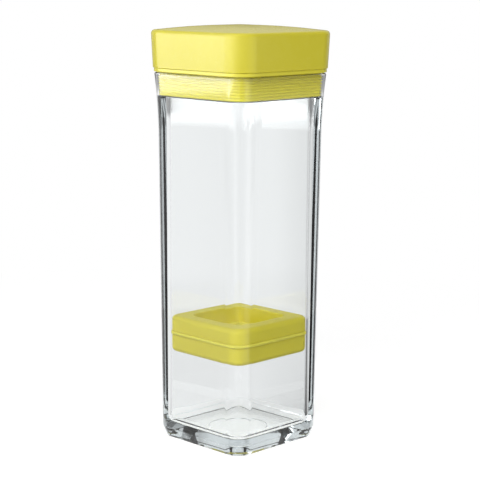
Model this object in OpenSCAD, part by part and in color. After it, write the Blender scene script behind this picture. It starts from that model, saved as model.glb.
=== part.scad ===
// Square herb keeper: a clear tall container, a lift-off lid with a ribbed seal,
// and a lift-out insert that holds the stems above the water.
// Millimetres, +Z up, origin at the centre of the base on the table.

/* [Container] */
// Side of the container just above its chamfered foot
base_side = 68.3; // [66:0.1:70]
// Side of the container where its walls begin to flare
neck_side = 71.2; // [70:0.1:73]
// Side of the container at its rim
rim_side = 74.6; // [74:0.1:77]
// Height where the flare begins
neck_height = 170; // [150:1:185]
// Height of the rim above the table
rim_height = 210.2; // [200:0.2:225]
// Outer radius of the four upright corners
corner_radius = 11; // [9:0.5:12]
// Width of the chamfer round the foot
base_edge = 2.2; // [1.4:0.1:3]
// Height of the chamfer round the foot
base_rise = 6; // [4:0.5:8]
// Thickness of the solid base
base_thickness = 8; // [6:0.5:12]

/* [Inside of the container] */
// Side of the bore at the bottom
bore_bottom_side = 57.9; // [57.8:0.1:58.4]
// Side of the bore under the ledge
bore_top_side = 59; // [58.6:0.1:60]
// Corner radius of the bore at the bottom
bore_bottom_radius = 7.2; // [6.5:0.1:8]
// Corner radius of the bore under the ledge
bore_top_radius = 8.5; // [8:0.1:9.5]
// Radius between the bore and its floor
floor_fillet = 5; // [3:0.5:6]
// Depth of the wide mouth, from the rim to the ledge
mouth_depth = 13; // [10:0.2:16]
// Side of the mouth at the ledge
mouth_bottom_side = 68.1; // [68:0.1:69]
// Side of the mouth at the rim
mouth_top_side = 69.4; // [69.2:0.1:70]
// Corner radius of the mouth
mouth_radius = 7.5; // [7:0.1:9]
// Diameter of the shallow recess under the base
recess_diameter = 30; // [20:1:40]
// Depth of that recess
recess_depth = 0.6; // [0.3:0.1:1]

/* [Lid] */
// Side of the cap at its lower edge
cap_bottom_side = 76.9; // [76.5:0.1:78]
// Side of the cap below its top edge
cap_top_side = 78.2; // [77.5:0.1:80]
// Corner radius of the cap
cap_radius = 13; // [12:0.5:15]
// Height of the cap's straight side
cap_wall_height = 18.8; // [14:0.2:22]
// Radius of the cap's top edge
cap_edge = 2.2; // [1.5:0.1:3]
// Slope of the crowned top where it meets the edge, in degrees
crown_slope = 9; // [6:1:14]
// Thickness of the cap
cap_skin = 2.2; // [1.6:0.1:2.4]
// Side of the plug's cup
plug_side = 62.4; // [61:0.1:63]
// Corner radius of the plug's cup
plug_radius = 7.6; // [7:0.1:8.2]
// Thickness of the plug
plug_skin = 2; // [1.6:0.1:2.4]
// Gap between the rim and the lip of the seal
rim_gap = 0.6; // [0.5:0.1:2]
// Thickness of the seal's lip
lip_thickness = 2; // [1.6:0.1:2.6]
// Side of the seal's lip
lip_side = 75.8; // [75:0.1:76.4]
// Corner radius of the seal's lip
lip_radius = 12.5; // [12:0.1:13]
// Number of ribs round the seal
rib_count = 8; // [5:1:9]
// Thickness of one rib
rib_thickness = 1; // [0.8:0.1:1.2]
// Depth of the grooves between the ribs
rib_depth = 0.3; // [0.2:0.1:0.6]

/* [Stem insert] */
// Height of the insert's underside above the table
insert_height = 50.5; // [30:0.5:80]
// Side of the insert's two halves
insert_side = 55.6; // [54:0.1:55.8]
// Corner radius of the insert
insert_radius = 6.6; // [6.2:0.1:7]
// Height of the lower half
base_half_height = 10.3; // [9:0.1:12]
// Height of the upper half
cover_half_height = 8.8; // [8.6:0.1:12]
// Radius of the insert's outer edges
insert_edge = 3; // [2:0.1:3.2]
// Thickness of the halves' walls
insert_skin = 2; // [1.6:0.1:2.2]
// Side of the square window in each half
window_side = 36.4; // [34:0.1:38]
// Corner radius of the window
window_radius = 5.2; // [4:0.1:6]
// Thickness of the soft sheet's rim
rim_thickness = 2; // [1.6:0.1:2.4]
// Side of the soft sheet's rim
sheet_side = 57.5; // [57:0.1:57.5]
// Thickness of the sheet inside its rim
sheet_thickness = 1.2; // [0.8:0.1:1.4]
// Stem holes in a row, with as many rows
stem_rows = 3; // [2:1:3]
// Distance between the stem holes
stem_pitch = 11.4; // [11:0.1:12]
// Diameter of the open middle of a stem hole
stem_hole = 6.2; // [6:0.1:7]
// Length of the slits across a stem hole
slit_length = 9.8; // [9:0.1:10]
// Width of a slit
slit_width = 0.7; // [0.5:0.1:1]
// Diameter of the pins that join the two halves
pin_diameter = 3.2; // [2.6:0.1:3.6]
// Distance of each pin from both centre lines
pin_offset = 21.2; // [21:0.1:21.4]

/* [Hidden] */

corner_steps = 8;
edge_steps = 5;
flare_steps = 5;
crown_steps = 6;
round_faces = 48;

clear_blue = [0.90, 0.94, 0.95, 0.45];
lid_yellow = [0.94, 0.90, 0.30];
seal_yellow = [0.90, 0.86, 0.36];
insert_yellow = [0.90, 0.85, 0.22];

flare_height = rim_height - neck_height;
ledge_height = rim_height - mouth_depth;
ledge_edge = 0.4;
ledge_corner = 0.3;
rim_edge = 0.8;
bore_floor = base_thickness + floor_fillet;
foot_low = 0.6;
foot_high = 1.5;
foot_steps = 3;

running_gap = 0.3;
seat_gap = 0.4;
reveal = 0.2;
plug_bottom = ledge_height + seat_gap;
lip_bottom = rim_height + rim_gap;
lip_top = lip_bottom + lip_thickness;
cap_bottom = lip_top + reveal;
cap_wall_top = cap_bottom + cap_wall_height;
cap_chamfer = 0.4;
plug_flange_side = cap_bottom_side - 2 * (cap_skin + reveal);
plug_flange_radius = cap_radius - cap_skin - reveal;
plug_flange_thickness = 2.2;
lip_edge = 0.4;
seal_height = lip_bottom - plug_bottom;
rib_pitch = seal_height / rib_count;

grip_bottom = insert_height + base_half_height;
grip_top = grip_bottom + rim_thickness;
insert_top = grip_top + cover_half_height;
window_edge = 0.8;
skirt_side = window_side + 2 * insert_skin;
skirt_radius = window_radius + insert_skin;
boss_wall = 1.6;
boss_diameter = pin_diameter + 2 * boss_wall;
pin_clearance = 0.1;
socket_roof = 2.4;
socket_depth = cover_half_height - socket_roof;
pin_length = socket_depth - 1;
rim_step = 0.4;
through = 1;

// --- Shared shapes ---

// Points of a square with rounded corners, counter-clockwise, at one height
function ring(side, radius, height) =
    let (inset = side / 2 - radius)
    [for (corner = [0:3]) for (i = [0:corner_steps])
        let (turn = 90 * (corner + i / corner_steps), middle = 90 * corner + 45)
        [
            inset * sqrt(2) * cos(middle) + radius * cos(turn),
            inset * sqrt(2) * sin(middle) + radius * sin(turn),
            height
        ]];

// Side of a straight taper between two heights
function taper(low, high, low_z, high_z, z) = low + (high - low) * (z - low_z) / (high_z - low_z);

// Solid skin through a chain of rings; a looped chain closes on itself and has no end faces
module loft(rings, looped = false) {
    count = len(rings[0]);
    last = len(rings) - 1;
    sides = [for (k = [0:looped ? last : last - 1]) for (i = [0:count - 1])
        let (j = (i + 1) % count, a = k * count, b = (k == last ? 0 : k + 1) * count)
        [a + i, b + i, b + j, a + j]];
    ends = looped ? [] : [
        [for (i = [0:count - 1]) i],
        [for (i = [0:count - 1]) last * count + count - 1 - i]
    ];
    polyhedron(points = [for (r = rings) each r], faces = concat(ends, sides), convexity = 8);
}

// Flat square with rounded corners
module rounded_square(side, radius) {
    inset = side - 2 * radius;
    square([side, inset], center = true);
    square([inset, side], center = true);
    for (x = [-1, 1])
        for (y = [-1, 1])
            translate([x * inset / 2, y * inset / 2])
                circle(r = radius, $fn = round_faces);
}

// Straight slab of that outline between two heights
module slab(side, radius, bottom, top) {
    translate([0, 0, bottom])
        linear_extrude(height = top - bottom)
            rounded_square(side, radius);
}

// Copies its children to the four corners of a square
module at_corners(offset_xy) {
    for (x = [-1, 1])
        for (y = [-1, 1])
            translate([x * offset_xy, y * offset_xy, 0])
                children();
}

// --- Container ---

// Side of the outer wall at a height, with the flare above the neck
function wall_side(z) =
    taper(base_side, neck_side, 0, neck_height, min(z, neck_height))
    + (rim_side - neck_side) * pow(max(0, z - neck_height) / flare_height, 2);

function bore_side(z) = taper(bore_bottom_side, bore_top_side, bore_floor, ledge_height, z);
function bore_radius(z) = taper(bore_bottom_radius, bore_top_radius, bore_floor, ledge_height, z);
function mouth_side(z) = taper(mouth_bottom_side, mouth_top_side, ledge_height, rim_height, z);

// Points (inset, height) of the chamfer round the foot, softened at both ends
foot_lean = atan(base_edge / base_rise);
foot_low_inset = base_edge + foot_low * (1 - sin(foot_lean)) / cos(foot_lean);
foot_high_centre = ((base_edge - foot_high) * cos(foot_lean) + foot_high) / sin(foot_lean);
foot_points = concat(
    [for (i = [0:foot_steps])
        let (turn = 90 + (foot_lean - 90) * i / foot_steps)
        [foot_low_inset - foot_low * cos(turn), foot_low * (1 - sin(turn))]],
    [for (i = [0:foot_steps])
        let (turn = foot_lean * (1 - i / foot_steps))
        [foot_high * (1 - cos(turn)), foot_high_centre - foot_high * sin(turn)]]
);

container_outside = concat(
    [ring(recess_diameter - 2 * recess_depth, recess_diameter / 2 - 2 * recess_depth, recess_depth)],
    [ring(recess_diameter, recess_diameter / 2 - recess_depth, 0)],
    [for (point = foot_points) ring(wall_side(point[1]) - 2 * point[0], corner_radius - point[0], point[1])],
    [for (i = [0:flare_steps])
        let (z = neck_height + (flare_height - rim_edge) * i / flare_steps)
        ring(wall_side(z), corner_radius, z)]
);

container_inside = concat(
    [ring(wall_side(rim_height) - 2 * rim_edge, corner_radius - rim_edge, rim_height)],
    [ring(mouth_side(rim_height) + rim_edge, mouth_radius + rim_edge / 2, rim_height)],
    [ring(mouth_side(rim_height - rim_edge), mouth_radius, rim_height - rim_edge)],
    [ring(mouth_side(ledge_height + ledge_corner), mouth_radius, ledge_height + ledge_corner)],
    [ring(mouth_side(ledge_height) - 2 * ledge_corner, mouth_radius - ledge_corner, ledge_height)],
    [for (i = [0:edge_steps])
        let (turn = 90 * i / edge_steps, inset = ledge_edge * (1 - sin(turn)))
        ring(
            bore_side(ledge_height - ledge_edge) + 2 * inset,
            bore_radius(ledge_height - ledge_edge) + inset,
            ledge_height - ledge_edge * (1 - cos(turn))
        )],
    [for (i = [0:edge_steps])
        let (turn = 90 * i / edge_steps, inset = floor_fillet * (1 - cos(turn)))
        ring(bore_bottom_side - 2 * inset, bore_bottom_radius - inset, bore_floor - floor_fillet * sin(turn))]
);

module container() {
    color(clear_blue)
        loft(concat(container_outside, container_inside));
}

// --- Lid ---

// Rings of the top edge and crown of the cap, for a skin set in from the outside
function crown_rings(inset) =
    let (
        half = cap_top_side / 2 - cap_edge,
        radius = max(cap_edge - inset, reveal),
        arc = 90 - crown_slope,
        edge_half = half - max(inset - cap_edge, 0) + radius * cos(arc),
        edge_z = cap_wall_top - max(inset - cap_edge, 0) + radius * sin(arc),
        rise = tan(crown_slope) * edge_half / 2,
        corner = cap_radius - inset
    )
    concat(
        [for (i = [0:edge_steps])
            let (turn = arc * i / edge_steps, side = 2 * (edge_half - radius * cos(arc) + radius * cos(turn)))
            ring(side, corner - radius * (1 - cos(turn)), edge_z - radius * (sin(arc) - sin(turn)))],
        [for (i = [1:crown_steps])
            let (part = 1 - i / (crown_steps + 1))
            ring(2 * edge_half * part, corner * part, edge_z + rise * (1 - part * part))]
    );

function reversed(list) = [for (i = [len(list) - 1:-1:0]) list[i]];

module lid_cap() {
    color(lid_yellow)
        loft(concat(
            reversed(crown_rings(cap_skin)),
            [ring(cap_bottom_side - 2 * cap_skin, cap_radius - cap_skin, cap_bottom)],
            [ring(cap_bottom_side - 2 * cap_chamfer, cap_radius - cap_chamfer, cap_bottom)],
            [ring(cap_bottom_side, cap_radius, cap_bottom + cap_chamfer)],
            crown_rings(0)
        ));
}

// Open cup that carries the seal; its flange sits inside the cap
module lid_plug() {
    color(lid_yellow)
        difference() {
            union() {
                slab(plug_side, plug_radius, plug_bottom, lip_top + plug_flange_thickness);
                slab(plug_flange_side, plug_flange_radius, lip_top, lip_top + plug_flange_thickness);
            }
            slab(
                plug_side - 2 * plug_skin,
                plug_radius - plug_skin,
                plug_bottom + plug_skin,
                lip_top + plug_flange_thickness + through
            );
        }
}

// Soft ribbed sleeve round the plug, with the lip that shows under the cap
module lid_seal() {
    groove_side = mouth_side(ledge_height) - 2 * (running_gap + rib_depth);
    groove_radius = mouth_radius - running_gap - rib_depth;
    color(seal_yellow)
        difference() {
            union() {
                slab(groove_side, groove_radius, plug_bottom, lip_bottom);
                for (i = [0:rib_count - 1]) {
                    rib_bottom = plug_bottom + rib_pitch * i;
                    slab(
                        mouth_side(rib_bottom) - 2 * running_gap,
                        mouth_radius - running_gap,
                        rib_bottom,
                        rib_bottom + rib_thickness
                    );
                }
                slab(lip_side - 2 * lip_edge, lip_radius - lip_edge, lip_bottom, lip_top);
                slab(lip_side, lip_radius, lip_bottom + lip_edge, lip_top - lip_edge);
            }
            slab(plug_side, plug_radius, plug_bottom - through, lip_top + through);
        }
}

// --- Stem insert ---

// Hollow frame round the window, flat side up at flat_z, open side at open_z
module half_frame(flat_z, open_z) {
    up = sign(flat_z - open_z);
    rounded = [for (i = [0:edge_steps])
        let (turn = 90 * i / edge_steps, inset = insert_edge * (1 - cos(turn)))
        ring(insert_side - 2 * inset, insert_radius - inset, flat_z - up * insert_edge * (1 - sin(turn)))];
    window = [for (i = [0:edge_steps])
        let (turn = 90 * i / edge_steps, inset = window_edge * (1 - sin(turn)))
        ring(window_side + 2 * inset, window_radius + inset, flat_z - up * window_edge * (1 - cos(turn)))];
    chain = concat(
        [ring(insert_side, insert_radius, open_z)],
        rounded,
        window,
        [ring(window_side, window_radius, open_z)],
        [ring(skirt_side, skirt_radius, open_z)],
        [ring(skirt_side, skirt_radius, flat_z - up * insert_skin)],
        [ring(insert_side - 2 * insert_skin, insert_radius - insert_skin, flat_z - up * insert_skin)],
        [ring(insert_side - 2 * insert_skin, insert_radius - insert_skin, open_z)]
    );
    loft(up > 0 ? chain : reversed(chain), looped = true);
}

module insert_cover() {
    color(insert_yellow)
        difference() {
            union() {
                half_frame(insert_top, grip_top);
                at_corners(pin_offset)
                    translate([0, 0, grip_top])
                        cylinder(
                            h = cover_half_height - insert_skin / 2,
                            d = boss_diameter,
                            $fn = round_faces
                        );
            }
            at_corners(pin_offset)
                translate([0, 0, grip_top - through])
                    cylinder(
                        h = socket_depth + through,
                        d = pin_diameter + 2 * pin_clearance,
                        $fn = round_faces
                    );
        }
}

// Soft sheet held between the halves, with a star-cut hole for each stem
module stem_grip() {
    middle = (grip_bottom + grip_top) / 2;
    sheet_bottom = middle - sheet_thickness / 2;
    color(seal_yellow)
        difference() {
            union() {
                difference() {
                    union() {
                        slab(sheet_side - 2 * rim_step, insert_radius, grip_bottom, grip_top);
                        slab(
                            sheet_side,
                            insert_radius + rim_step,
                            grip_bottom + rim_step,
                            grip_top - rim_step
                        );
                    }
                    slab(window_side, window_radius, grip_bottom - through, grip_top + through);
                }
                slab(skirt_side, skirt_radius, sheet_bottom, sheet_bottom + sheet_thickness);
            }
            for (column = [0:stem_rows - 1])
                for (row = [0:stem_rows - 1])
                    translate([
                        (column - (stem_rows - 1) / 2) * stem_pitch,
                        (row - (stem_rows - 1) / 2) * stem_pitch,
                        grip_bottom - through
                    ]) {
                        cylinder(h = rim_thickness + 2 * through, d = stem_hole, $fn = round_faces);
                        for (turn = [0, 90])
                            rotate([0, 0, turn + 45])
                                translate([-slit_length / 2, -slit_width / 2, 0])
                                    cube([slit_length, slit_width, rim_thickness + 2 * through]);
                    }
            at_corners(pin_offset)
                translate([0, 0, grip_bottom - through])
                    cylinder(
                        h = rim_thickness + 2 * through,
                        d = pin_diameter + 4 * pin_clearance,
                        $fn = round_faces
                    );
        }
}

module insert_base() {
    post_bottom = insert_height + insert_skin / 2;
    color(insert_yellow)
        union() {
            half_frame(insert_height, grip_bottom);
            at_corners(pin_offset)
                translate([0, 0, post_bottom]) {
                    cylinder(h = grip_bottom - post_bottom, d = boss_diameter, $fn = round_faces);
                    cylinder(
                        h = grip_top + pin_length - post_bottom,
                        d = pin_diameter,
                        $fn = round_faces
                    );
                }
        }
}

container();
lid_cap();
lid_plug();
lid_seal();
insert_cover();
stem_grip();
insert_base();
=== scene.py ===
import math

import bmesh
import bpy
from mathutils import Matrix, Vector


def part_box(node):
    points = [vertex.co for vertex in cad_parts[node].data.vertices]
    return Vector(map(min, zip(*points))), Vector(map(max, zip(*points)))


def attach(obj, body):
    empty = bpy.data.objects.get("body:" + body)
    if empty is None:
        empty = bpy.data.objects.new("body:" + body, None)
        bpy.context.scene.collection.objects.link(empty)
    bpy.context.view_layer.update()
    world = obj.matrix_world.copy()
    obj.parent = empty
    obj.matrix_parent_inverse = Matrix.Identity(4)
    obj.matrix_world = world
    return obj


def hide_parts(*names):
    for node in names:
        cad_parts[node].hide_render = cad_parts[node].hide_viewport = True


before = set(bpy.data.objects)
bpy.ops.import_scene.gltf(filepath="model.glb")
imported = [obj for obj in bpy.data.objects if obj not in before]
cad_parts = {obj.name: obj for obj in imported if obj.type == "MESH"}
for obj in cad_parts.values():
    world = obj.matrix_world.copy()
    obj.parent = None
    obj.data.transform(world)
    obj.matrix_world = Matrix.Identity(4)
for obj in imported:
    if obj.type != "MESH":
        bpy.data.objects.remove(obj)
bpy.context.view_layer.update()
mm = 0.001
cornerSteps = 14  # segments round one upright corner
edgeSteps = 7  # segments round one small edge
fineSteps = 3  # segments round the smallest edges
pinSteps = 32  # segments round a pin or its socket
sharpAngle = math.radians(40)
mergeDistance = 0.002 * mm
print("frame loaded")


# small helpers for rounded square shapes, all sizes in millimetres

def lowest(node):
    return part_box(node)[0].z / mm


def highest(node):
    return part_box(node)[1].z / mm


def width(node):
    low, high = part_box(node)
    return (high.x - low.x) / mm


def between(low, high, share):
    return low + (high - low) * share


def quarter(steps):
    return [math.pi / 2 * i / steps for i in range(steps + 1)]


def addRing(bm, side, radius, height):
    square = bmesh.ops.create_grid(
        bm, x_segments=1, y_segments=1, size=side / 2 * mm,
        matrix=Matrix.Translation((0, 0, height * mm)),
    )
    rounded = bmesh.ops.bevel(
        bm, geom=square["verts"], offset=radius * mm, offset_type="OFFSET",
        segments=cornerSteps, profile=0.5, affect="VERTICES", material=-1, clamp_overlap=False,
    )
    face = rounded["verts"][0].link_faces[0]
    edges = list(face.edges)
    bmesh.ops.delete(bm, geom=[face], context="FACES_ONLY")
    return edges


def bridge(bm, loops, looped=False):
    pairs = list(zip(loops, loops[1:]))
    if looped:
        pairs.append((loops[-1], loops[0]))
    for one, other in pairs:
        bmesh.ops.bridge_loops(bm, edges=one + other)


# rings are bridged a fixed step apart, because level rings bridge twisted, then go to their heights
def addSkin(bm, rings, looped=False):
    step = 10
    loops = [addRing(bm, side, radius, step * i) for i, (side, radius, height) in enumerate(rings)]
    bridge(bm, loops, looped)
    if not looped:
        for edges in (loops[0], loops[-1]):
            bmesh.ops.contextual_create(bm, geom=edges)
    for i, edges in enumerate(loops):
        verts = list({vert for edge in edges for vert in edge.verts})
        bmesh.ops.translate(bm, verts=verts, vec=(0, 0, (rings[i][2] - step * i) * mm))


def addPost(bm, x, y, low, high, diameter, tip=0.0):
    bmesh.ops.create_cone(
        bm, cap_ends=True, cap_tris=False, segments=pinSteps,
        radius1=diameter / 2 * mm, radius2=(diameter / 2 - tip) * mm, depth=(high - low) * mm,
        matrix=Matrix.Translation((x * mm, y * mm, (low + high) / 2 * mm)),
    )


def addSocket(bm, x, y, low, roof, high, outer, inner):
    corners = [(0, roof), (inner, roof), (inner, low), (outer, low), (outer, high), (0, high)]
    verts = [bm.verts.new(((x + size / 2) * mm, y * mm, z * mm)) for size, z in corners]
    edges = [bm.edges.new(pair) for pair in zip(verts, verts[1:])]
    bmesh.ops.spin(
        bm, geom=verts + edges, cent=(x * mm, y * mm, 0), axis=(0, 0, 1), angle=2 * math.pi,
        steps=pinSteps, use_merge=True, use_duplicate=False,
    )


def atCorners(offset):
    return [(x * offset, y * offset) for x in (-1, 1) for y in (-1, 1)]


def putInScene(name, data):
    item = bpy.data.objects.new(name, data)
    bpy.context.scene.collection.objects.link(item)
    return item


def finishPiece(name, bm, material, body, node):
    bmesh.ops.remove_doubles(bm, verts=bm.verts, dist=mergeDistance)
    bmesh.ops.recalc_face_normals(bm, faces=bm.faces)
    mesh = bpy.data.meshes.new(name)
    bm.to_mesh(mesh)
    bm.free()
    for face in mesh.polygons:
        face.use_smooth = True
    mesh.set_sharp_from_angle(angle=sharpAngle)
    mesh.materials.append(material)
    piece = putInScene(name, mesh)
    flats = piece.modifiers.new("flatsStayFlat", "WEIGHTED_NORMAL")
    flats.keep_sharp = True
    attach(piece, body)
    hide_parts(node)
    print(name, "made with", len(mesh.polygons), "faces")


# shader groups: what more than one finish uses

def newGroup(name, inputs, outputs):
    tree = bpy.data.node_groups.new(name, "ShaderNodeTree")
    for label, kind, value in inputs:
        socket = tree.interface.new_socket(label, in_out="INPUT", socket_type=kind)
        socket.default_value = value
    for label, kind in outputs:
        tree.interface.new_socket(label, in_out="OUTPUT", socket_type=kind)
    return tree, tree.nodes.new("NodeGroupInput"), tree.nodes.new("NodeGroupOutput")


def addNode(tree, kind, **settings):
    node = tree.nodes.new(kind)
    for key, value in settings.items():
        if key in node.inputs:
            node.inputs[key].default_value = value
        else:
            setattr(node, key, value)
    return node


def addMath(tree, operation, first, second):
    node = addNode(tree, "ShaderNodeMath", operation=operation)
    for socket, value in zip(node.inputs, (first, second)):
        if isinstance(value, (int, float)):
            socket.default_value = value
        else:
            tree.links.new(value, socket)
    return node.outputs[0]


def addRange(tree, value, fromMin, fromMax, toMin, toMax):
    node = addNode(tree, "ShaderNodeMapRange")
    labels = ("Value", "From Min", "From Max", "To Min", "To Max")
    for label, item in zip(labels, (value, fromMin, fromMax, toMin, toMax)):
        if isinstance(item, (int, float)):
            node.inputs[label].default_value = item
        else:
            tree.links.new(item, node.inputs[label])
    return node.outputs["Result"]


def addNoise(tree, vector, scale, detail, roughness=0.5):
    node = addNode(tree, "ShaderNodeTexNoise", Detail=detail, Roughness=roughness)
    tree.links.new(vector, node.inputs["Vector"])
    if isinstance(scale, (int, float)):
        node.inputs["Scale"].default_value = scale
    else:
        tree.links.new(scale, node.inputs["Scale"])
    return node.outputs["Fac"]


# noises are (scale per metre, detail, roughness), the grain's without its scale,
# and limits are (from, to)
skinPattern = {
    "clouds": (22, 3), "driftLimits": (0.35, 0.65),
    "streakStretch": (60, 60, 9), "streaks": (1.0, 4),
    "patches": (75, 5, 0.65), "patchLimits": (0.45, 0.75),
    "grain": (2, 0.6), "grainLimits": (0.3, 0.7), "speckle": 0.03,
    "edgeSamples": 6, "edgeLimits": (0.99, 0.85),
    "edgeSpots": (240, 3, 0.6), "edgeSpotLimits": (0.4, 0.6), "edgeLeast": 0.2,
}


# where a moulding is handled most: 1 along its crisp edges, broken up by noise
def addEdgeMask(tree, place, reach):
    pattern = skinPattern
    soft = addNode(tree, "ShaderNodeBevel", samples=pattern["edgeSamples"])
    tree.links.new(reach, soft.inputs["Radius"])
    level = addNode(tree, "ShaderNodeVectorMath", operation="DOT_PRODUCT")
    tree.links.new(soft.outputs["Normal"], level.inputs[0])
    tree.links.new(addNode(tree, "ShaderNodeNewGeometry").outputs["Normal"], level.inputs[1])
    crisp = addRange(tree, level.outputs["Value"], *pattern["edgeLimits"], 0, 1)
    noise = addNoise(tree, place, *pattern["edgeSpots"])
    spots = addRange(tree, noise, *pattern["edgeSpotLimits"], pattern["edgeLeast"], 1)
    return addMath(tree, "MULTIPLY", crisp, spots)


# colour that drifts a little over a moulding, fine grain, rubbed patches and worn edges
def makeMouldedSkin():
    tree, source, sink = newGroup(
        "mouldedSkin",
        [
            ("Colour", "NodeSocketColor", (0.8, 0.8, 0.8, 1)),
            ("Thin Colour", "NodeSocketColor", (0.9, 0.9, 0.8, 1)),
            ("Drift", "NodeSocketFloat", 0.3),
            ("Grain Scale", "NodeSocketFloat", 2500),
            ("Roughness", "NodeSocketFloat", 0.4),
            ("Rubbed", "NodeSocketFloat", 0.1),
            ("Edge Wear", "NodeSocketFloat", 0.5),
            ("Edge Reach", "NodeSocketFloat", 0.0006),
        ],
        [
            ("Colour", "NodeSocketColor"),
            ("Roughness", "NodeSocketFloat"),
            ("Height", "NodeSocketFloat"),
        ],
    )
    pattern = skinPattern
    place = addNode(tree, "ShaderNodeTexCoord").outputs["Object"]
    clouds = addNoise(tree, place, *pattern["clouds"])
    flow = addNode(tree, "ShaderNodeMapping", Scale=pattern["streakStretch"])
    tree.links.new(place, flow.inputs["Vector"])
    streaks = addNoise(tree, flow.outputs["Vector"], *pattern["streaks"])
    mixed = addMath(tree, "MULTIPLY", addMath(tree, "ADD", clouds, streaks), 0.5)
    share = addRange(tree, mixed, *pattern["driftLimits"], 0, 1)
    drift = addMath(tree, "MULTIPLY", share, source.outputs["Drift"])
    edges = addEdgeMask(tree, place, source.outputs["Edge Reach"])
    worn = addMath(tree, "MULTIPLY", edges, source.outputs["Edge Wear"])
    amount = addMath(tree, "MAXIMUM", drift, worn)
    blend = addNode(tree, "ShaderNodeMix", data_type="RGBA")
    tree.links.new(amount, blend.inputs["Factor"])
    tree.links.new(source.outputs["Colour"], blend.inputs[6])
    tree.links.new(source.outputs["Thin Colour"], blend.inputs[7])
    grain = addNoise(tree, place, source.outputs["Grain Scale"], *pattern["grain"])
    spread = addNoise(tree, place, *pattern["patches"])
    patches = addRange(tree, spread, *pattern["patchLimits"], 0, 1)
    handled = addMath(tree, "MAXIMUM", patches, worn)
    rubbed = addMath(tree, "MULTIPLY", handled, source.outputs["Rubbed"])
    rough = addMath(tree, "SUBTRACT", source.outputs["Roughness"], rubbed)
    specks = addRange(tree, grain, *pattern["grainLimits"], -pattern["speckle"], pattern["speckle"])
    speckled = addMath(tree, "ADD", rough, specks)
    tree.links.new(blend.outputs[2], sink.inputs["Colour"])
    tree.links.new(speckled, sink.inputs["Roughness"])
    tree.links.new(grain, sink.inputs["Height"])
    return tree


handlingPattern = {
    "smears": (30, 4, 0.6), "smearLimits": (0.5, 0.8),
    "hairStretch": (900, 900, 25), "hairTurn": (0.1, 0.06, 0.3),
    "hairs": (1.0, 1), "hairLimits": (0.74, 0.78),
    "hairPlaces": (18, 2), "hairPlaceLimits": (0.52, 0.62),
    "scuffs": (300, 4, 0.7), "scuffLimits": (0.45, 0.6),
}


# wiped smears, hairline scratches and a scuffed foot, as a roughness and a height
def makeHandling():
    tree, source, sink = newGroup(
        "handling",
        [
            ("Clean Roughness", "NodeSocketFloat", 0.0),
            ("Smear Roughness", "NodeSocketFloat", 0.08),
            ("Scratch Height", "NodeSocketFloat", 0.2),
            ("Scuff Roughness", "NodeSocketFloat", 0.1),
            ("Scuff Reach", "NodeSocketFloat", 0.001),
        ],
        [("Roughness", "NodeSocketFloat"), ("Height", "NodeSocketFloat")],
    )
    pattern = handlingPattern
    place = addNode(tree, "ShaderNodeTexCoord").outputs["Object"]
    clean, smeared = source.outputs["Clean Roughness"], source.outputs["Smear Roughness"]
    wiped = addNoise(tree, place, *pattern["smears"])
    smears = addRange(tree, wiped, *pattern["smearLimits"], 0, 1)
    gap = addMath(tree, "SUBTRACT", smeared, clean)
    rough = addMath(tree, "ADD", clean, addMath(tree, "MULTIPLY", smears, gap))
    stretch = addNode(
        tree, "ShaderNodeMapping", Scale=pattern["hairStretch"], Rotation=pattern["hairTurn"]
    )
    tree.links.new(place, stretch.inputs["Vector"])
    hairNoise = addNoise(tree, stretch.outputs["Vector"], *pattern["hairs"])
    hairs = addRange(tree, hairNoise, *pattern["hairLimits"], 0, 1)
    placeNoise = addNoise(tree, place, *pattern["hairPlaces"])
    here = addRange(tree, placeNoise, *pattern["hairPlaceLimits"], 0, 1)
    scratched = addMath(tree, "MULTIPLY", hairs, here)
    scratches = addMath(tree, "MULTIPLY", scratched, source.outputs["Scratch Height"])
    up = addNode(tree, "ShaderNodeSeparateXYZ")
    tree.links.new(place, up.inputs[0])
    foot = addRange(tree, up.outputs["Z"], 0, source.outputs["Scuff Reach"], 1, 0)
    footNoise = addNoise(tree, place, *pattern["scuffs"])
    rubs = addRange(tree, footNoise, *pattern["scuffLimits"], 0, 1)
    scuffed = addMath(tree, "MULTIPLY", foot, rubs)
    scuffs = addMath(tree, "MULTIPLY", scuffed, source.outputs["Scuff Roughness"])
    tree.links.new(addMath(tree, "ADD", rough, scuffs), sink.inputs["Roughness"])
    tree.links.new(addMath(tree, "SUBTRACT", 0, scratches), sink.inputs["Height"])
    return tree


mouldedSkin = makeMouldedSkin()
handling = makeHandling()


def newMaterial(name):
    material = bpy.data.materials.new(name)
    material.use_nodes = True
    return material, material.node_tree, material.node_tree.nodes["Principled BSDF"]


def useGroup(tree, group, **values):
    node = addNode(tree, "ShaderNodeGroup", node_tree=group)
    for label, value in values.items():
        node.inputs[label].default_value = value
    return node


def moulded(name, finish):
    material, tree, shader = newMaterial(name)
    skin = useGroup(tree, mouldedSkin, **finish["skin"])
    tree.links.new(skin.outputs["Colour"], shader.inputs["Base Color"])
    tree.links.new(skin.outputs["Roughness"], shader.inputs["Roughness"])
    bump = addNode(
        tree, "ShaderNodeBump", Strength=finish["bumpStrength"], Distance=finish["bumpHeight"] * mm
    )
    tree.links.new(skin.outputs["Height"], bump.inputs["Height"])
    tree.links.new(bump.outputs["Normal"], shader.inputs["Normal"])
    for label, value in finish["shader"].items():
        shader.inputs[label].default_value = value
    return material


clearFinish = {
    "tint": (0.985, 0.992, 0.992, 1),
    "ior": 1.49,
    "shadow": (0.99, 0.993, 0.995, 1),
    "cleanRoughness": 0.0,
    "smearRoughness": 0.03,
    "scratchHeight": 0.3,
    "scuffRoughness": 0.12, "scuffReach": 1,
    "bumpHeight": 0.004,  # mm
    "depthColour": (0.25, 0.38, 0.42, 1),
    "depthDensity": 8,  # per metre of plastic
}


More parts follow.
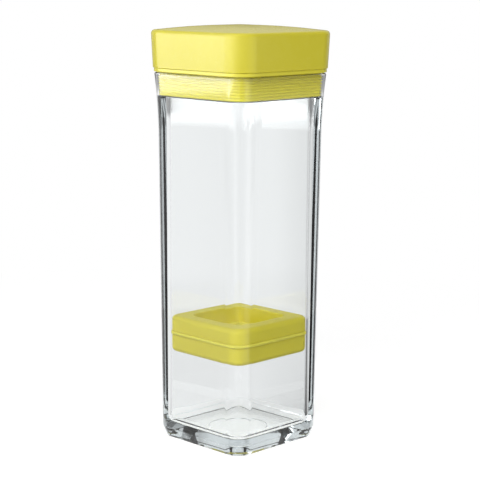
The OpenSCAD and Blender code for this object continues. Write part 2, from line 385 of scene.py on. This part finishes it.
def makeClear(finish):
    material, tree, shader = newMaterial("clearMoulding")
    marks = useGroup(
        tree, handling,
        **{
            "Clean Roughness": finish["cleanRoughness"],
            "Smear Roughness": finish["smearRoughness"],
            "Scratch Height": finish["scratchHeight"],
            "Scuff Roughness": finish["scuffRoughness"],
            "Scuff Reach": finish["scuffReach"] * mm,
        },
    )
    bump = addNode(tree, "ShaderNodeBump", Strength=1.0, Distance=finish["bumpHeight"] * mm)
    tree.links.new(marks.outputs["Height"], bump.inputs["Height"])
    tree.links.new(bump.outputs["Normal"], shader.inputs["Normal"])
    tree.links.new(marks.outputs["Roughness"], shader.inputs["Roughness"])
    shader.inputs["Base Color"].default_value = finish["tint"]
    shader.inputs["Transmission Weight"].default_value = 1.0
    shader.inputs["IOR"].default_value = finish["ior"]
    # lamps reach the insert through the wall
    path = addNode(tree, "ShaderNodeLightPath")
    veil = addNode(tree, "ShaderNodeBsdfTransparent", Color=finish["shadow"])
    pick = addNode(tree, "ShaderNodeMixShader")
    tree.links.new(path.outputs["Is Shadow Ray"], pick.inputs[0])
    tree.links.new(shader.outputs[0], pick.inputs[1])
    tree.links.new(veil.outputs[0], pick.inputs[2])
    tree.links.new(pick.outputs[0], tree.nodes["Material Output"].inputs["Surface"])
    inside = addNode(
        tree, "ShaderNodeVolumeAbsorption",
        Color=finish["depthColour"], Density=finish["depthDensity"],
    )
    tree.links.new(inside.outputs[0], tree.nodes["Material Output"].inputs["Volume"])
    return material


lidFinish = {
    "skin": {
        "Colour": (0.82, 0.725, 0.04, 1), "Thin Colour": (0.85, 0.765, 0.06, 1), "Drift": 0.35,
        "Grain Scale": 2600, "Roughness": 0.26, "Rubbed": 0.05, "Edge Wear": 0.6,
    },
    "bumpStrength": 0.25, "bumpHeight": 0.02,
    "shader": {"IOR": 1.5},
}
sealFinish = {
    "skin": {
        "Colour": (0.88, 0.80, 0.035, 1), "Thin Colour": (0.90, 0.83, 0.05, 1), "Drift": 0.4,
        "Grain Scale": 3400, "Roughness": 0.32, "Rubbed": 0.04, "Edge Wear": 0.4,
    },
    "bumpStrength": 0.3, "bumpHeight": 0.02,
    "shader": {"IOR": 1.62},
}
insertFinish = {
    "skin": {
        "Colour": (0.76, 0.665, 0.025, 1), "Thin Colour": (0.80, 0.715, 0.04, 1), "Drift": 0.35,
        "Grain Scale": 2600, "Roughness": 0.45, "Rubbed": 0.08, "Edge Wear": 0.6,
    },
    "bumpStrength": 0.25, "bumpHeight": 0.02,
    "shader": {"IOR": 1.42},
}
gripFinish = {
    "skin": {
        "Colour": (0.83, 0.76, 0.06, 1), "Thin Colour": (0.88, 0.83, 0.14, 1), "Drift": 0.4,
        "Grain Scale": 3400, "Roughness": 0.5, "Rubbed": 0.05, "Edge Wear": 0.4,
    },
    "bumpStrength": 0.3, "bumpHeight": 0.02,
    "shader": {"IOR": 1.42},
}
clearMoulding = makeClear(clearFinish)
lidYellow = moulded("lidYellow", lidFinish)
sealYellow = moulded("sealYellow", sealFinish)
insertYellow = moulded("insertYellow", insertFinish)
gripYellow = moulded("gripYellow", gripFinish)
print("finishes made")


# the clear jar: outside, rim, mouth, ledge and bore in one closed skin

jar = {
    "rimHeight": highest("container"),
    "baseSide": 68.3, "neckSide": 71.2, "rimSide": 74.6, "neckHeight": 170,
    "cornerRadius": 11, "baseThickness": 8,
    "baseEdge": 2.2, "baseRise": 6, "footLow": 0.6, "footHigh": 1.5,
    "boreBottomSide": 57.9, "boreTopSide": 59, "boreBottomRadius": 7.2, "boreTopRadius": 8.5,
    "floorFillet": 5, "floorSteps": 10, "mouthDepth": 13, "mouthBottomSide": 68.1,
    "mouthTopSide": 69.4, "mouthRadius": 7.5, "ledgeEdge": 0.4, "ledgeCorner": 0.3, "rimEdge": 0.8,
    "recessDiameter": 30, "recessDepth": 0.6, "flareSteps": 14,
}


def wallSide(height):
    share = min(height, jar["neckHeight"]) / jar["neckHeight"]
    flare = max(0, height - jar["neckHeight"]) / (jar["rimHeight"] - jar["neckHeight"])
    straight = between(jar["baseSide"], jar["neckSide"], share)
    return straight + (jar["rimSide"] - jar["neckSide"]) * flare ** 2


ledgeHeight = jar["rimHeight"] - jar["mouthDepth"]
boreFloor = jar["baseThickness"] + jar["floorFillet"]


def boreSize(height):
    share = (height - boreFloor) / (ledgeHeight - boreFloor)
    side = between(jar["boreBottomSide"], jar["boreTopSide"], share)
    return side, between(jar["boreBottomRadius"], jar["boreTopRadius"], share)


def mouthSide(height):
    share = (height - ledgeHeight) / jar["mouthDepth"]
    return between(jar["mouthBottomSide"], jar["mouthTopSide"], share)


# the chamfer round the foot, softened at its lower and upper ends, as (inset, height)
def footProfile():
    lean = math.atan(jar["baseEdge"] / jar["baseRise"])
    low, high = jar["footLow"], jar["footHigh"]
    lowInset = jar["baseEdge"] + low * (1 - math.sin(lean)) / math.cos(lean)
    highCentre = ((jar["baseEdge"] - high) * math.cos(lean) + high) / math.sin(lean)
    points = []
    for i in range(edgeSteps + 1):
        turn = between(math.pi / 2, lean, i / edgeSteps)
        points.append((lowInset - low * math.cos(turn), low * (1 - math.sin(turn))))
    for i in range(edgeSteps + 1):
        turn = lean * (1 - i / edgeSteps)
        points.append((high * (1 - math.cos(turn)), highCentre - high * math.sin(turn)))
    return points


def jarRings():
    corner, rim = jar["cornerRadius"], jar["rimHeight"]
    recess, deep = jar["recessDiameter"], jar["recessDepth"]
    rings = [(recess - 2 * deep, recess / 2 - 2 * deep, deep), (recess, recess / 2 - deep, 0)]
    for inset, height in footProfile():
        rings.append((wallSide(height) - 2 * inset, corner - inset, height))
    flareTop = rim - jar["rimEdge"]
    for i in range(jar["flareSteps"] + 1):
        height = between(jar["neckHeight"], flareTop, i / jar["flareSteps"])
        rings.append((wallSide(height), corner, height))
    outer, inner = wallSide(flareTop), mouthSide(flareTop)
    for turn in quarter(edgeSteps)[1:]:
        inset = jar["rimEdge"] * (1 - math.cos(turn))
        height = flareTop + jar["rimEdge"] * math.sin(turn)
        rings.append((outer - 2 * inset, corner - inset, height))
    for turn in quarter(edgeSteps):
        inset = jar["rimEdge"] * (1 - math.sin(turn))
        height = flareTop + jar["rimEdge"] * math.cos(turn)
        rings.append((inner + 2 * inset, jar["mouthRadius"] + inset, height))
    low = ledgeHeight + jar["ledgeCorner"]
    rings.append((mouthSide(low), jar["mouthRadius"], low))
    root = mouthSide(ledgeHeight) - 2 * jar["ledgeCorner"]
    rings.append((root, jar["mouthRadius"] - jar["ledgeCorner"], ledgeHeight))
    top = ledgeHeight - jar["ledgeEdge"]
    side, radius = boreSize(top)
    for turn in quarter(edgeSteps):
        inset = jar["ledgeEdge"] * (1 - math.sin(turn))
        rings.append((side + 2 * inset, radius + inset, top + jar["ledgeEdge"] * math.cos(turn)))
    for turn in quarter(jar["floorSteps"]):
        inset = jar["floorFillet"] * (1 - math.cos(turn))
        side, radius = jar["boreBottomSide"] - 2 * inset, jar["boreBottomRadius"] - inset
        rings.append((side, radius, boreFloor - jar["floorFillet"] * math.sin(turn)))
    return rings


bm = bmesh.new()
addSkin(bm, jarRings())
finishPiece("jar", bm, clearMoulding, "jar", "container")


# the lid's crowned cap, a shell open below

cap = {
    "bottomSide": 76.9, "topSide": width("lid_cap"), "radius": 13, "wallHeight": 18.8, "edge": 2.2,
    "crownSlope": math.radians(9), "skin": 2.2, "chamfer": 0.2, "crownSteps": 16, "innerEdge": 0.2,
}
capBottom = lowest("lid_cap")


def crownRings(inset):
    arc = math.pi / 2 - cap["crownSlope"]
    radius = max(cap["edge"] - inset, cap["innerEdge"])
    drop = max(inset - cap["edge"], 0)
    edgeHalf = cap["topSide"] / 2 - cap["edge"] - drop + radius * math.cos(arc)
    edgeHeight = capBottom + cap["wallHeight"] - drop + radius * math.sin(arc)
    last = 0.5 / (cap["crownSteps"] + 0.5)
    rise = math.tan(cap["crownSlope"]) * edgeHalf / 2
    rise = min(rise, (highest("lid_cap") - inset - edgeHeight) / (1 - last * last))
    corner = cap["radius"] - inset
    rings = []
    for i in range(edgeSteps + 1):
        turn = arc * i / edgeSteps
        half = edgeHalf + radius * (math.cos(turn) - math.cos(arc))
        height = edgeHeight - radius * (math.sin(arc) - math.sin(turn))
        rings.append((2 * half, corner - radius * (1 - math.cos(turn)), height))
    for i in range(1, cap["crownSteps"] + 1):
        part = 1 - i / (cap["crownSteps"] + 0.5)
        rings.append((2 * edgeHalf * part, corner * part, edgeHeight + rise * (1 - part * part)))
    return rings


bm = bmesh.new()
chamfer = cap["chamfer"]
addSkin(
    bm,
    crownRings(cap["skin"])[::-1]
    + [(cap["bottomSide"] - 2 * cap["skin"], cap["radius"] - cap["skin"], capBottom)]
    + [
        (
            cap["bottomSide"] - 2 * chamfer * (1 - math.sin(turn)),
            cap["radius"] - chamfer * (1 - math.sin(turn)),
            capBottom + chamfer * (1 - math.cos(turn)),
        )
        for turn in quarter(fineSteps)
    ]
    + crownRings(0),
)
finishPiece("lidCap", bm, lidYellow, "lid", "lid_cap")


# the plug, a cup whose flange sits inside the cap

plug = {
    "side": 62.4, "radius": 7.6, "skin": 2, "edge": 0.3,
    "flangeRadius": 10.6, "flangeThickness": 2.2,
}
plugBottom = lowest("lid_plug")
plugTop = highest("lid_plug")
flangeSide = width("lid_plug")
flangeBottom = plugTop - plug["flangeThickness"]
edge = plug["edge"]
inside = plug["side"] - 2 * plug["skin"]
insideRadius = plug["radius"] - plug["skin"]
bm = bmesh.new()
addSkin(
    bm,
    [
        (plug["side"] - 2 * edge, plug["radius"] - edge, plugBottom),
        (plug["side"], plug["radius"], plugBottom + edge),
        (plug["side"], plug["radius"], flangeBottom),
        (flangeSide - 2 * edge, plug["flangeRadius"] - edge, flangeBottom),
        (flangeSide, plug["flangeRadius"], flangeBottom + edge),
        (flangeSide, plug["flangeRadius"], plugTop - edge),
        (flangeSide - 2 * edge, plug["flangeRadius"] - edge, plugTop),
        (inside + 2 * edge, insideRadius + edge, plugTop),
        (inside, insideRadius, plugTop - edge),
        (inside, insideRadius, plugBottom + plug["skin"] + edge),
        (inside - 2 * edge, insideRadius - edge, plugBottom + plug["skin"]),
    ],
)
finishPiece("lidPlug", bm, lidYellow, "lid", "lid_plug")


# the soft seal: ribbed sleeve and the lip under the cap

seal = {
    "lipThickness": 2, "lipRadius": 12.5, "lipReach": 0.15, "lipEdge": 0.3, "lipSteps": 4,
    "ribs": 8, "ribThickness": 1, "ribDepth": 0.3, "ribEdge": 0.5, "gap": 0.3,
}
sealBottom = lowest("lid_seal")
lipTop = highest("lid_seal") + seal["lipReach"]
lipBottom = highest("lid_seal") - seal["lipThickness"]


def sealRings():
    grooveSide = mouthSide(ledgeHeight) - 2 * (seal["gap"] + seal["ribDepth"])
    grooveRadius = jar["mouthRadius"] - seal["gap"] - seal["ribDepth"]
    soft = seal["ribEdge"]
    rings = [(plug["side"], plug["radius"], lipTop), (plug["side"], plug["radius"], sealBottom)]
    pitch = (lipBottom - sealBottom) / seal["ribs"]
    for i in range(seal["ribs"]):
        low = sealBottom + pitch * i
        high = low + seal["ribThickness"]
        side = mouthSide(low) - 2 * seal["gap"]
        radius = jar["mouthRadius"] - seal["gap"]
        for turn in quarter(fineSteps):
            inset = soft * (1 - math.sin(turn))
            rings.append((side - 2 * inset, radius - inset, low + soft * (1 - math.cos(turn))))
        for turn in quarter(fineSteps):
            inset = soft * (1 - math.cos(turn))
            rings.append((side - 2 * inset, radius - inset, high - soft * (1 - math.sin(turn))))
        rings.append((grooveSide, grooveRadius, high))
        if i < seal["ribs"] - 1:
            rings.append((grooveSide, grooveRadius, low + pitch))
    rings.append((grooveSide, grooveRadius, lipBottom))
    lip, lipSide = seal["lipEdge"], width("lid_seal")
    for turn in quarter(seal["lipSteps"]):
        inset = lip * (1 - math.sin(turn))
        height = lipBottom + lip * (1 - math.cos(turn))
        rings.append((lipSide - 2 * inset, seal["lipRadius"] - inset, height))
    for turn in quarter(seal["lipSteps"]):
        inset = lip * (1 - math.cos(turn))
        height = lipTop - lip * (1 - math.sin(turn))
        rings.append((lipSide - 2 * inset, seal["lipRadius"] - inset, height))
    return rings


bm = bmesh.new()
addSkin(bm, sealRings(), looped=True)
finishPiece("lidSeal", bm, sealYellow, "lid", "lid_seal")


# the stem insert: two hollow halves round a window

insert = {
    "side": width("insert_cover"), "radius": 6.6, "edge": 3, "skin": 2,
    "windowSide": 36.4, "windowRadius": 5.2, "windowEdge": 0.8, "rimHalfEdge": 0.35,
    "pinDiameter": 3.2, "bossWall": 1.6, "pinOffset": 21.2, "pinTip": 0.4,
    "socketRoof": 2.4, "socketGap": 0.2,
}
gripBottom = lowest("stem_grip")
gripTop = highest("stem_grip")


def halfRings(flatEnd, openEnd):
    up = 1 if flatEnd > openEnd else -1
    side, radius, edge, skin = insert["side"], insert["radius"], insert["edge"], insert["skin"]
    window, windowRadius = insert["windowSide"], insert["windowRadius"]
    lip = insert["rimHalfEdge"]
    rings = []
    for turn in quarter(fineSteps):
        inset = lip * (1 - math.sin(turn))
        height = openEnd + up * lip * (1 - math.cos(turn))
        rings.append((side - 2 * inset, radius - inset, height))
    for turn in quarter(edgeSteps):
        inset = edge * (1 - math.cos(turn))
        height = flatEnd - up * edge * (1 - math.sin(turn))
        rings.append((side - 2 * inset, radius - inset, height))
    for turn in quarter(edgeSteps):
        inset = insert["windowEdge"] * (1 - math.sin(turn))
        drop = insert["windowEdge"] * (1 - math.cos(turn))
        rings.append((window + 2 * inset, windowRadius + inset, flatEnd - up * drop))
    rings += [
        (window, windowRadius, openEnd),
        (window + 2 * skin, windowRadius + skin, openEnd),
        (window + 2 * skin, windowRadius + skin, flatEnd - up * skin),
        (side - 2 * skin, radius - skin, flatEnd - up * skin),
        (side - 2 * skin, radius - skin, openEnd),
    ]
    return rings


bossDiameter = insert["pinDiameter"] + 2 * insert["bossWall"]
coverTop = highest("insert_cover")
insertBottom = lowest("insert_base")
pinTop = highest("insert_base")
bm = bmesh.new()
addSkin(bm, halfRings(coverTop, gripTop), looped=True)
for x, y in atCorners(insert["pinOffset"]):
    roof = coverTop - insert["socketRoof"]
    socket = insert["pinDiameter"] + insert["socketGap"]
    addSocket(bm, x, y, gripTop, roof, coverTop - insert["skin"] / 2, bossDiameter, socket)
finishPiece("insertCover", bm, insertYellow, "insert", "insert_cover")

bm = bmesh.new()
addSkin(bm, halfRings(insertBottom, gripBottom), looped=True)
for x, y in atCorners(insert["pinOffset"]):
    addPost(bm, x, y, insertBottom + insert["skin"] / 2, gripBottom, bossDiameter)
    pinLow = gripBottom - insert["pinTip"]
    addPost(bm, x, y, pinLow, pinTop, insert["pinDiameter"], insert["pinTip"])
finishPiece("insertBase", bm, insertYellow, "insert", "insert_base")


# the soft sheet between the halves, with star-cut stem holes

grip = {
    "radius": 7, "sheetThickness": 1.2, "rows": 3, "pitch": 11.4, "hole": 6.2,
    "holeSegments": 36, "slits": 4, "slitLength": 9.8, "slitWidth": 0.7,
    "bead": 0.95, "beadSteps": 8,
}


def addStar(bm, x, y, height):
    centre = Vector((x * mm, y * mm, height * mm))
    ring = bmesh.ops.create_circle(
        bm, cap_ends=False, segments=grip["holeSegments"], radius=grip["hole"] / 2 * mm,
        matrix=Matrix.Translation(centre),
    )["verts"]
    edges = {edge for vert in ring for edge in vert.link_edges}
    for k in range(grip["slits"]):
        turn = (k + 0.5) * 2 * math.pi / grip["slits"]
        way = Vector((math.cos(turn), math.sin(turn), 0))
        across = Vector((-way.y, way.x, 0)) * grip["slitWidth"] / 2 * mm
        mouth = max(
            edges, key=lambda edge: (edge.verts[0].co + edge.verts[1].co - 2 * centre).dot(way)
        )
        grown = bmesh.ops.extrude_edge_only(bm, edges=[mouth])["geom"]
        end = next(item for item in grown if isinstance(item, bmesh.types.BMEdge))
        web = [item for item in grown if isinstance(item, bmesh.types.BMFace)]
        for edge, reach in ((mouth, grip["hole"] / 2), (end, grip["slitLength"] / 2)):
            for vert in edge.verts:
                side = 1 if (vert.co - centre).dot(across) > 0 else -1
                vert.co = centre + way * reach * mm + across * side
        sides = {edge for face in web for edge in face.edges}
        bmesh.ops.delete(bm, geom=web, context="FACES_ONLY")
        edges = (edges | sides) - {mouth}
        bmesh.ops.delete(bm, geom=[mouth], context="EDGES")
    return list(edges)


def addPlate(bm, height):
    outline = addRing(bm, insert["windowSide"], insert["windowRadius"], height)
    stars = []
    middle = (grip["rows"] - 1) / 2
    for column in range(grip["rows"]):
        for row in range(grip["rows"]):
            x, y = (column - middle) * grip["pitch"], (row - middle) * grip["pitch"]
            stars.append(addStar(bm, x, y, height))
    everyEdge = outline + [edge for star in stars for edge in star]
    bmesh.ops.triangle_fill(bm, use_beauty=True, use_dissolve=False, edges=everyEdge)
    return outline, stars


bm = bmesh.new()
middle = (gripBottom + gripTop) / 2
sheetHalf = grip["sheetThickness"] / 2
topOutline, topStars = addPlate(bm, middle + sheetHalf)
bottomOutline, bottomStars = addPlate(bm, middle - sheetHalf)
for above, below in zip(topStars, bottomStars):
    bmesh.ops.bridge_loops(bm, edges=above + below)
window, windowRadius = insert["windowSide"], insert["windowRadius"]
beadSide = width("stem_grip")
bead = grip["bead"]
rim = [topOutline, addRing(bm, window, windowRadius, gripTop)]
for i in range(grip["beadSteps"] + 1):
    turn = math.pi * i / grip["beadSteps"]
    inset = bead * (1 - math.sin(turn))
    height = middle + bead * math.cos(turn)
    rim.append(addRing(bm, beadSide - 2 * inset, grip["radius"] - inset, height))
rim += [addRing(bm, window, windowRadius, gripBottom), bottomOutline]
bridge(bm, rim)
finishPiece("stemGrip", bm, gripYellow, "insert", "stem_grip")


# camera, as the photograph was taken

view = {
    "focal": 1500, "image": 480, "sensor": 36,  # pixels, pixels, mm
    "distance": 843.5, "aside": 0.4, "height": 265,  # mm
    "azimuth": math.radians(45), "pitch": 0.176, "roll": -0.0062,
}
back = Vector((math.sin(view["azimuth"]), -math.cos(view["azimuth"]), 0))
right = Vector((math.cos(view["azimuth"]), math.sin(view["azimuth"]), 0))
lens = bpy.data.cameras.new("camera")
lens.sensor_width = view["sensor"]
lens.lens = view["focal"] / view["image"] * view["sensor"]
lens.clip_start = 0.01
camera = putInScene("camera", lens)
bpy.context.scene.camera = camera
station = (back * view["distance"] + right * view["aside"] + Vector((0, 0, view["height"]))) * mm
turnUp = Matrix.Rotation(math.pi / 2 - view["pitch"], 4, "X")
camera.matrix_world = (
    Matrix.Translation(station) @ Matrix.Rotation(view["azimuth"], 4, "Z")
    @ turnUp @ Matrix.Rotation(-view["roll"], 4, "Z")
)


# the rig stays level round the jar and turns with the camera, so that every view is lit alike

turntable = putInScene("turntable", None)
facing = turntable.constraints.new("LOCKED_TRACK")
facing.target = camera
facing.track_axis = "TRACK_NEGATIVE_Y"
facing.lock_axis = "LOCK_Z"
bpy.context.view_layer.update()

lamps = {
    "key": {"angle": 60, "radius": 1.1, "height": 0.36, "size": (1.4, 0.5), "level": 0.64},
    "front": {"angle": 14, "radius": 1.2, "height": 1.1, "size": (0.8, 0.8), "level": 4.6},
}
aim = Vector((0, 0, 0.12))  # what the lamps point at, in metres


def fromCamera(angle, radius, height):
    turn = math.radians(angle)
    return (back * math.cos(turn) - right * math.sin(turn)) * radius + Vector((0, 0, height))


def followCamera(item):
    item.parent = turntable
    item.matrix_parent_inverse = turntable.matrix_world.inverted()


for name, lamp in lamps.items():
    light = bpy.data.lights.new(name, "AREA")
    light.shape = "RECTANGLE"
    light.size, light.size_y = lamp["size"]
    light.energy = lamp["level"] * math.pi * lamp["size"][0] * lamp["size"][1]
    holder = putInScene(name, light)
    holder.visible_glossy = False
    spot = fromCamera(lamp["angle"], lamp["radius"], lamp["height"])
    facingAim = (spot - aim).to_track_quat("Z", "Y").to_matrix().to_4x4()
    holder.matrix_world = Matrix.Translation(spot) @ facingAim
    followCamera(holder)


throughWall = 0.7  # share of the white surroundings that matt surfaces get through the clear wall


def backgroundRay(tree):
    path = addNode(tree, "ShaderNodeLightPath")
    first = addMath(tree, "MAXIMUM", path.outputs["Is Camera Ray"], path.outputs["Is Glossy Ray"])
    seen = addMath(tree, "MAXIMUM", first, path.outputs["Is Transmission Ray"])
    direct = addRange(tree, path.outputs["Diffuse Depth"], 0, 1, 1, throughWall)
    return addMath(tree, "MULTIPLY", seen, direct)


# cards that only reflections and refractions see, lying on the floor and standing round the jar:
# each band is (lower end, softness, stops) in metres and goes up to the next one, and each stop is
# (degrees to the left of the way ahead, brightness)
surround = {
    "inside": 0.065, "radius": 0.33, "low": 0.001, "high": 0.7, "sides": 96,
    "bands": [
        (0, 0.001, [
            (-180, 0.6), (-125, 0.9), (-115, 0.15), (-65, 0.15), (-50, 0.6), (-20, 0.85),
            (-5, 0.95), (60, 0.95), (85, 0.6), (125, 0.6), (150, 0.8), (180, 0.7),
        ]),
        (0.004, 0.002, [
            (-180, 0.5), (-157, 0.6), (-148, 0.9), (-140, 1.0), (-118, 0.6), (-104, 0.4),
            (-80, 0.4), (-45, 0.8), (-25, 0.7), (-8, 0.9), (-5, 1.0), (60, 1.0), (75, 0.7),
            (98, 0.4), (114, 0.45), (150, 0.6), (165, 0.75), (180, 0.7),
        ]),
        (0.03, 0.01, [
            (-180, 0.2), (-157, 0.5), (-148, 0.9), (-140, 1.3), (-127, 1.3), (-118, 0.7),
            (-104, 0.5), (-80, 0.5), (-70, 0.6), (-45, 0.85), (-25, 0.6), (-8, 0.9), (-5, 1.0),
            (60, 1.0), (75, 0.85), (92, 0.85), (98, 0.55), (106, 0.55), (114, 0.6), (150, 0.6),
            (165, 0.75), (180, 0.7),
        ]),
        (0.161, 0.008, [
            (-180, 0.2), (-157, 0.5), (-148, 0.9), (-140, 1.3), (-127, 1.3), (-118, 0.6),
            (-104, 0.12), (-80, 0.15), (-70, 0.3), (-45, 0.8), (-25, 0.6), (-8, 0.9), (-5, 1.0),
            (60, 1.0), (76, 0.7), (84, 5.2), (150, 5.2), (170, 0.3), (180, 0.3),
        ]),
        (0.172, 0.008, [
            (-180, 1.8), (-160, 1.2), (-149, 1.0), (-128, 1.3), (-102, 1.3), (-96, 0.1),
            (-60, 0.3), (-12, 0.4), (-7, 1.0), (7, 1.0), (12, 0.4), (55, 0.4), (76, 0.3),
            (84, 6.2), (140, 6.2), (149, 4.6), (160, 3.2), (180, 1.8),
        ]),
        (0.195, 0.006, [
            (-180, 1.8), (-160, 1.2), (-149, 1.0), (-128, 1.3), (-102, 1.3), (-96, 0.05),
            (-65, 0.05), (-55, 0.9), (-38, 0.9), (-30, 0.05), (30, 0.05), (36, 0.9), (62, 0.9),
            (76, 0.05), (84, 6.2), (140, 6.2), (149, 4.6), (160, 3.2), (180, 1.8),
        ]),
        (0.290, 0.02, [
            (-180, 0.3), (-100, 0.3), (-90, 0.05), (-75, 0.05), (-40, 0.7), (76, 0.7),
            (84, 3.0), (150, 3.0), (160, 0.3), (180, 0.3),
        ]),
    ],
}
bm = bmesh.new()
profile = [
    bm.verts.new(fromCamera(0, radius, height))
    for radius, height in (
        (surround["inside"], surround["low"]), (surround["radius"], surround["low"]),
        (surround["radius"], surround["high"]),
    )
]
edges = [bm.edges.new(pair) for pair in zip(profile, profile[1:])]
bmesh.ops.spin(
    bm, geom=profile + edges, cent=(0, 0, 0), axis=(0, 0, 1), angle=2 * math.pi,
    steps=surround["sides"], use_merge=True, use_duplicate=False,
)
cardMesh = bpy.data.meshes.new("surround")
bm.to_mesh(cardMesh)
bm.free()
cardMaterial = bpy.data.materials.new("cards")
cardMaterial.use_nodes = True
tree = cardMaterial.node_tree
tree.nodes.clear()
spot = addNode(tree, "ShaderNodeSeparateXYZ")
turned = addNode(tree, "ShaderNodeMapping", Rotation=(0, 0, -view["azimuth"]))
tree.links.new(addNode(tree, "ShaderNodeTexCoord").outputs["Object"], turned.inputs["Vector"])
tree.links.new(turned.outputs["Vector"], spot.inputs[0])
angle = addMath(tree, "ARCTAN2", addMath(tree, "SUBTRACT", 0, spot.outputs["X"]), spot.outputs["Y"])
turn = addRange(tree, angle, -math.pi, math.pi, 0, 1)
shown = None
for height, softness, levels in surround["bands"]:
    ramp = addNode(tree, "ShaderNodeValToRGB")
    tree.links.new(turn, ramp.inputs["Fac"])
    stops = ramp.color_ramp.elements
    for i, (degrees, level) in enumerate(levels):
        place = (degrees + 180) / 360
        stop = stops[i] if i < 2 else stops.new(place)
        stop.position, stop.color = place, (level, level, level, 1)
    if shown is None:
        shown = ramp.outputs["Color"]
        continue
    blend = addNode(tree, "ShaderNodeMix", data_type="RGBA")
    share = addRange(tree, spot.outputs["Z"], height - softness / 2, height + softness / 2, 0, 1)
    tree.links.new(share, blend.inputs["Factor"])
    tree.links.new(shown, blend.inputs[6])
    tree.links.new(ramp.outputs["Color"], blend.inputs[7])
    shown = blend.outputs[2]
glow = addNode(tree, "ShaderNodeEmission")
tree.links.new(shown, glow.inputs["Color"])
# light that a matt surface scatters passes the cards, also through the clear wall
depth = addNode(tree, "ShaderNodeLightPath").outputs["Diffuse Depth"]
scattered = addMath(tree, "GREATER_THAN", depth, 0.5)
pick = addNode(tree, "ShaderNodeMixShader")
tree.links.new(scattered, pick.inputs[0])
tree.links.new(glow.outputs[0], pick.inputs[1])
tree.links.new(addNode(tree, "ShaderNodeBsdfTransparent").outputs[0], pick.inputs[2])
tree.links.new(pick.outputs[0], addNode(tree, "ShaderNodeOutputMaterial").inputs["Surface"])
cardMesh.materials.append(cardMaterial)
cards = putInScene("surround", cardMesh)
cards.visible_camera = False
cards.visible_diffuse = False
cards.visible_shadow = False
followCamera(cards)


# pale floor and white surroundings

ground = {
    "size": 4, "colour": (0.8, 0.8, 0.8, 1), "roughness": 0.7, "lift": 0.55, "ambient": 0.43,
    "fadeFrom": 0.15, "fadeTo": 0.5,
    "gap": 0.1,  # keeps the floor off the clear base, so that light turns back at it as in air
}
bm = bmesh.new()
bmesh.ops.create_grid(
    bm, x_segments=1, y_segments=1, size=ground["size"],
    matrix=Matrix.Translation((0, 0, -ground["gap"] * mm)),
)
floorMesh = bpy.data.meshes.new("floor")
bm.to_mesh(floorMesh)
bm.free()
floorMaterial, tree, shader = newMaterial("paleFloor")
shader.inputs["Base Color"].default_value = ground["colour"]
shader.inputs["Roughness"].default_value = ground["roughness"]
shader.inputs["Specular IOR Level"].default_value = 0.0
lift = addNode(tree, "ShaderNodeEmission", Color=(1, 1, 1, 1))
seen = backgroundRay(tree)
tree.links.new(addMath(tree, "MULTIPLY", seen, ground["lift"]), lift.inputs["Strength"])
both = addNode(tree, "ShaderNodeAddShader")
tree.links.new(shader.outputs[0], both.inputs[0])
tree.links.new(lift.outputs[0], both.inputs[1])
away = addNode(tree, "ShaderNodeVectorMath", operation="LENGTH")
tree.links.new(addNode(tree, "ShaderNodeTexCoord").outputs["Object"], away.inputs[0])
far = addRange(tree, away.outputs["Value"], ground["fadeFrom"], ground["fadeTo"], 0, 1)
white = addNode(tree, "ShaderNodeEmission", Color=(1, 1, 1, 1))
fade = addNode(tree, "ShaderNodeMixShader")
tree.links.new(addMath(tree, "MULTIPLY", seen, far), fade.inputs[0])
tree.links.new(both.outputs[0], fade.inputs[1])
tree.links.new(white.outputs[0], fade.inputs[2])
tree.links.new(fade.outputs[0], tree.nodes["Material Output"].inputs["Surface"])
floorMesh.materials.append(floorMaterial)
floor = putInScene("floor", floorMesh)

world = bpy.data.worlds.new("surroundings")
world.use_nodes = True
bpy.context.scene.world = world
tree = world.node_tree
plain = tree.nodes["Background"]
plain.inputs["Color"].default_value = (1, 1, 1, 1)
seen = backgroundRay(tree)
tree.links.new(addRange(tree, seen, 0, 1, ground["ambient"], 1.0), plain.inputs["Strength"])
bpy.context.scene.view_settings.view_transform = "Standard"
bounces = 24  # light turns many times inside the thick corners
bpy.context.scene.cycles.max_bounces = bounces
bpy.context.scene.cycles.transmission_bounces = bounces
print("camera, lamps and floor made")
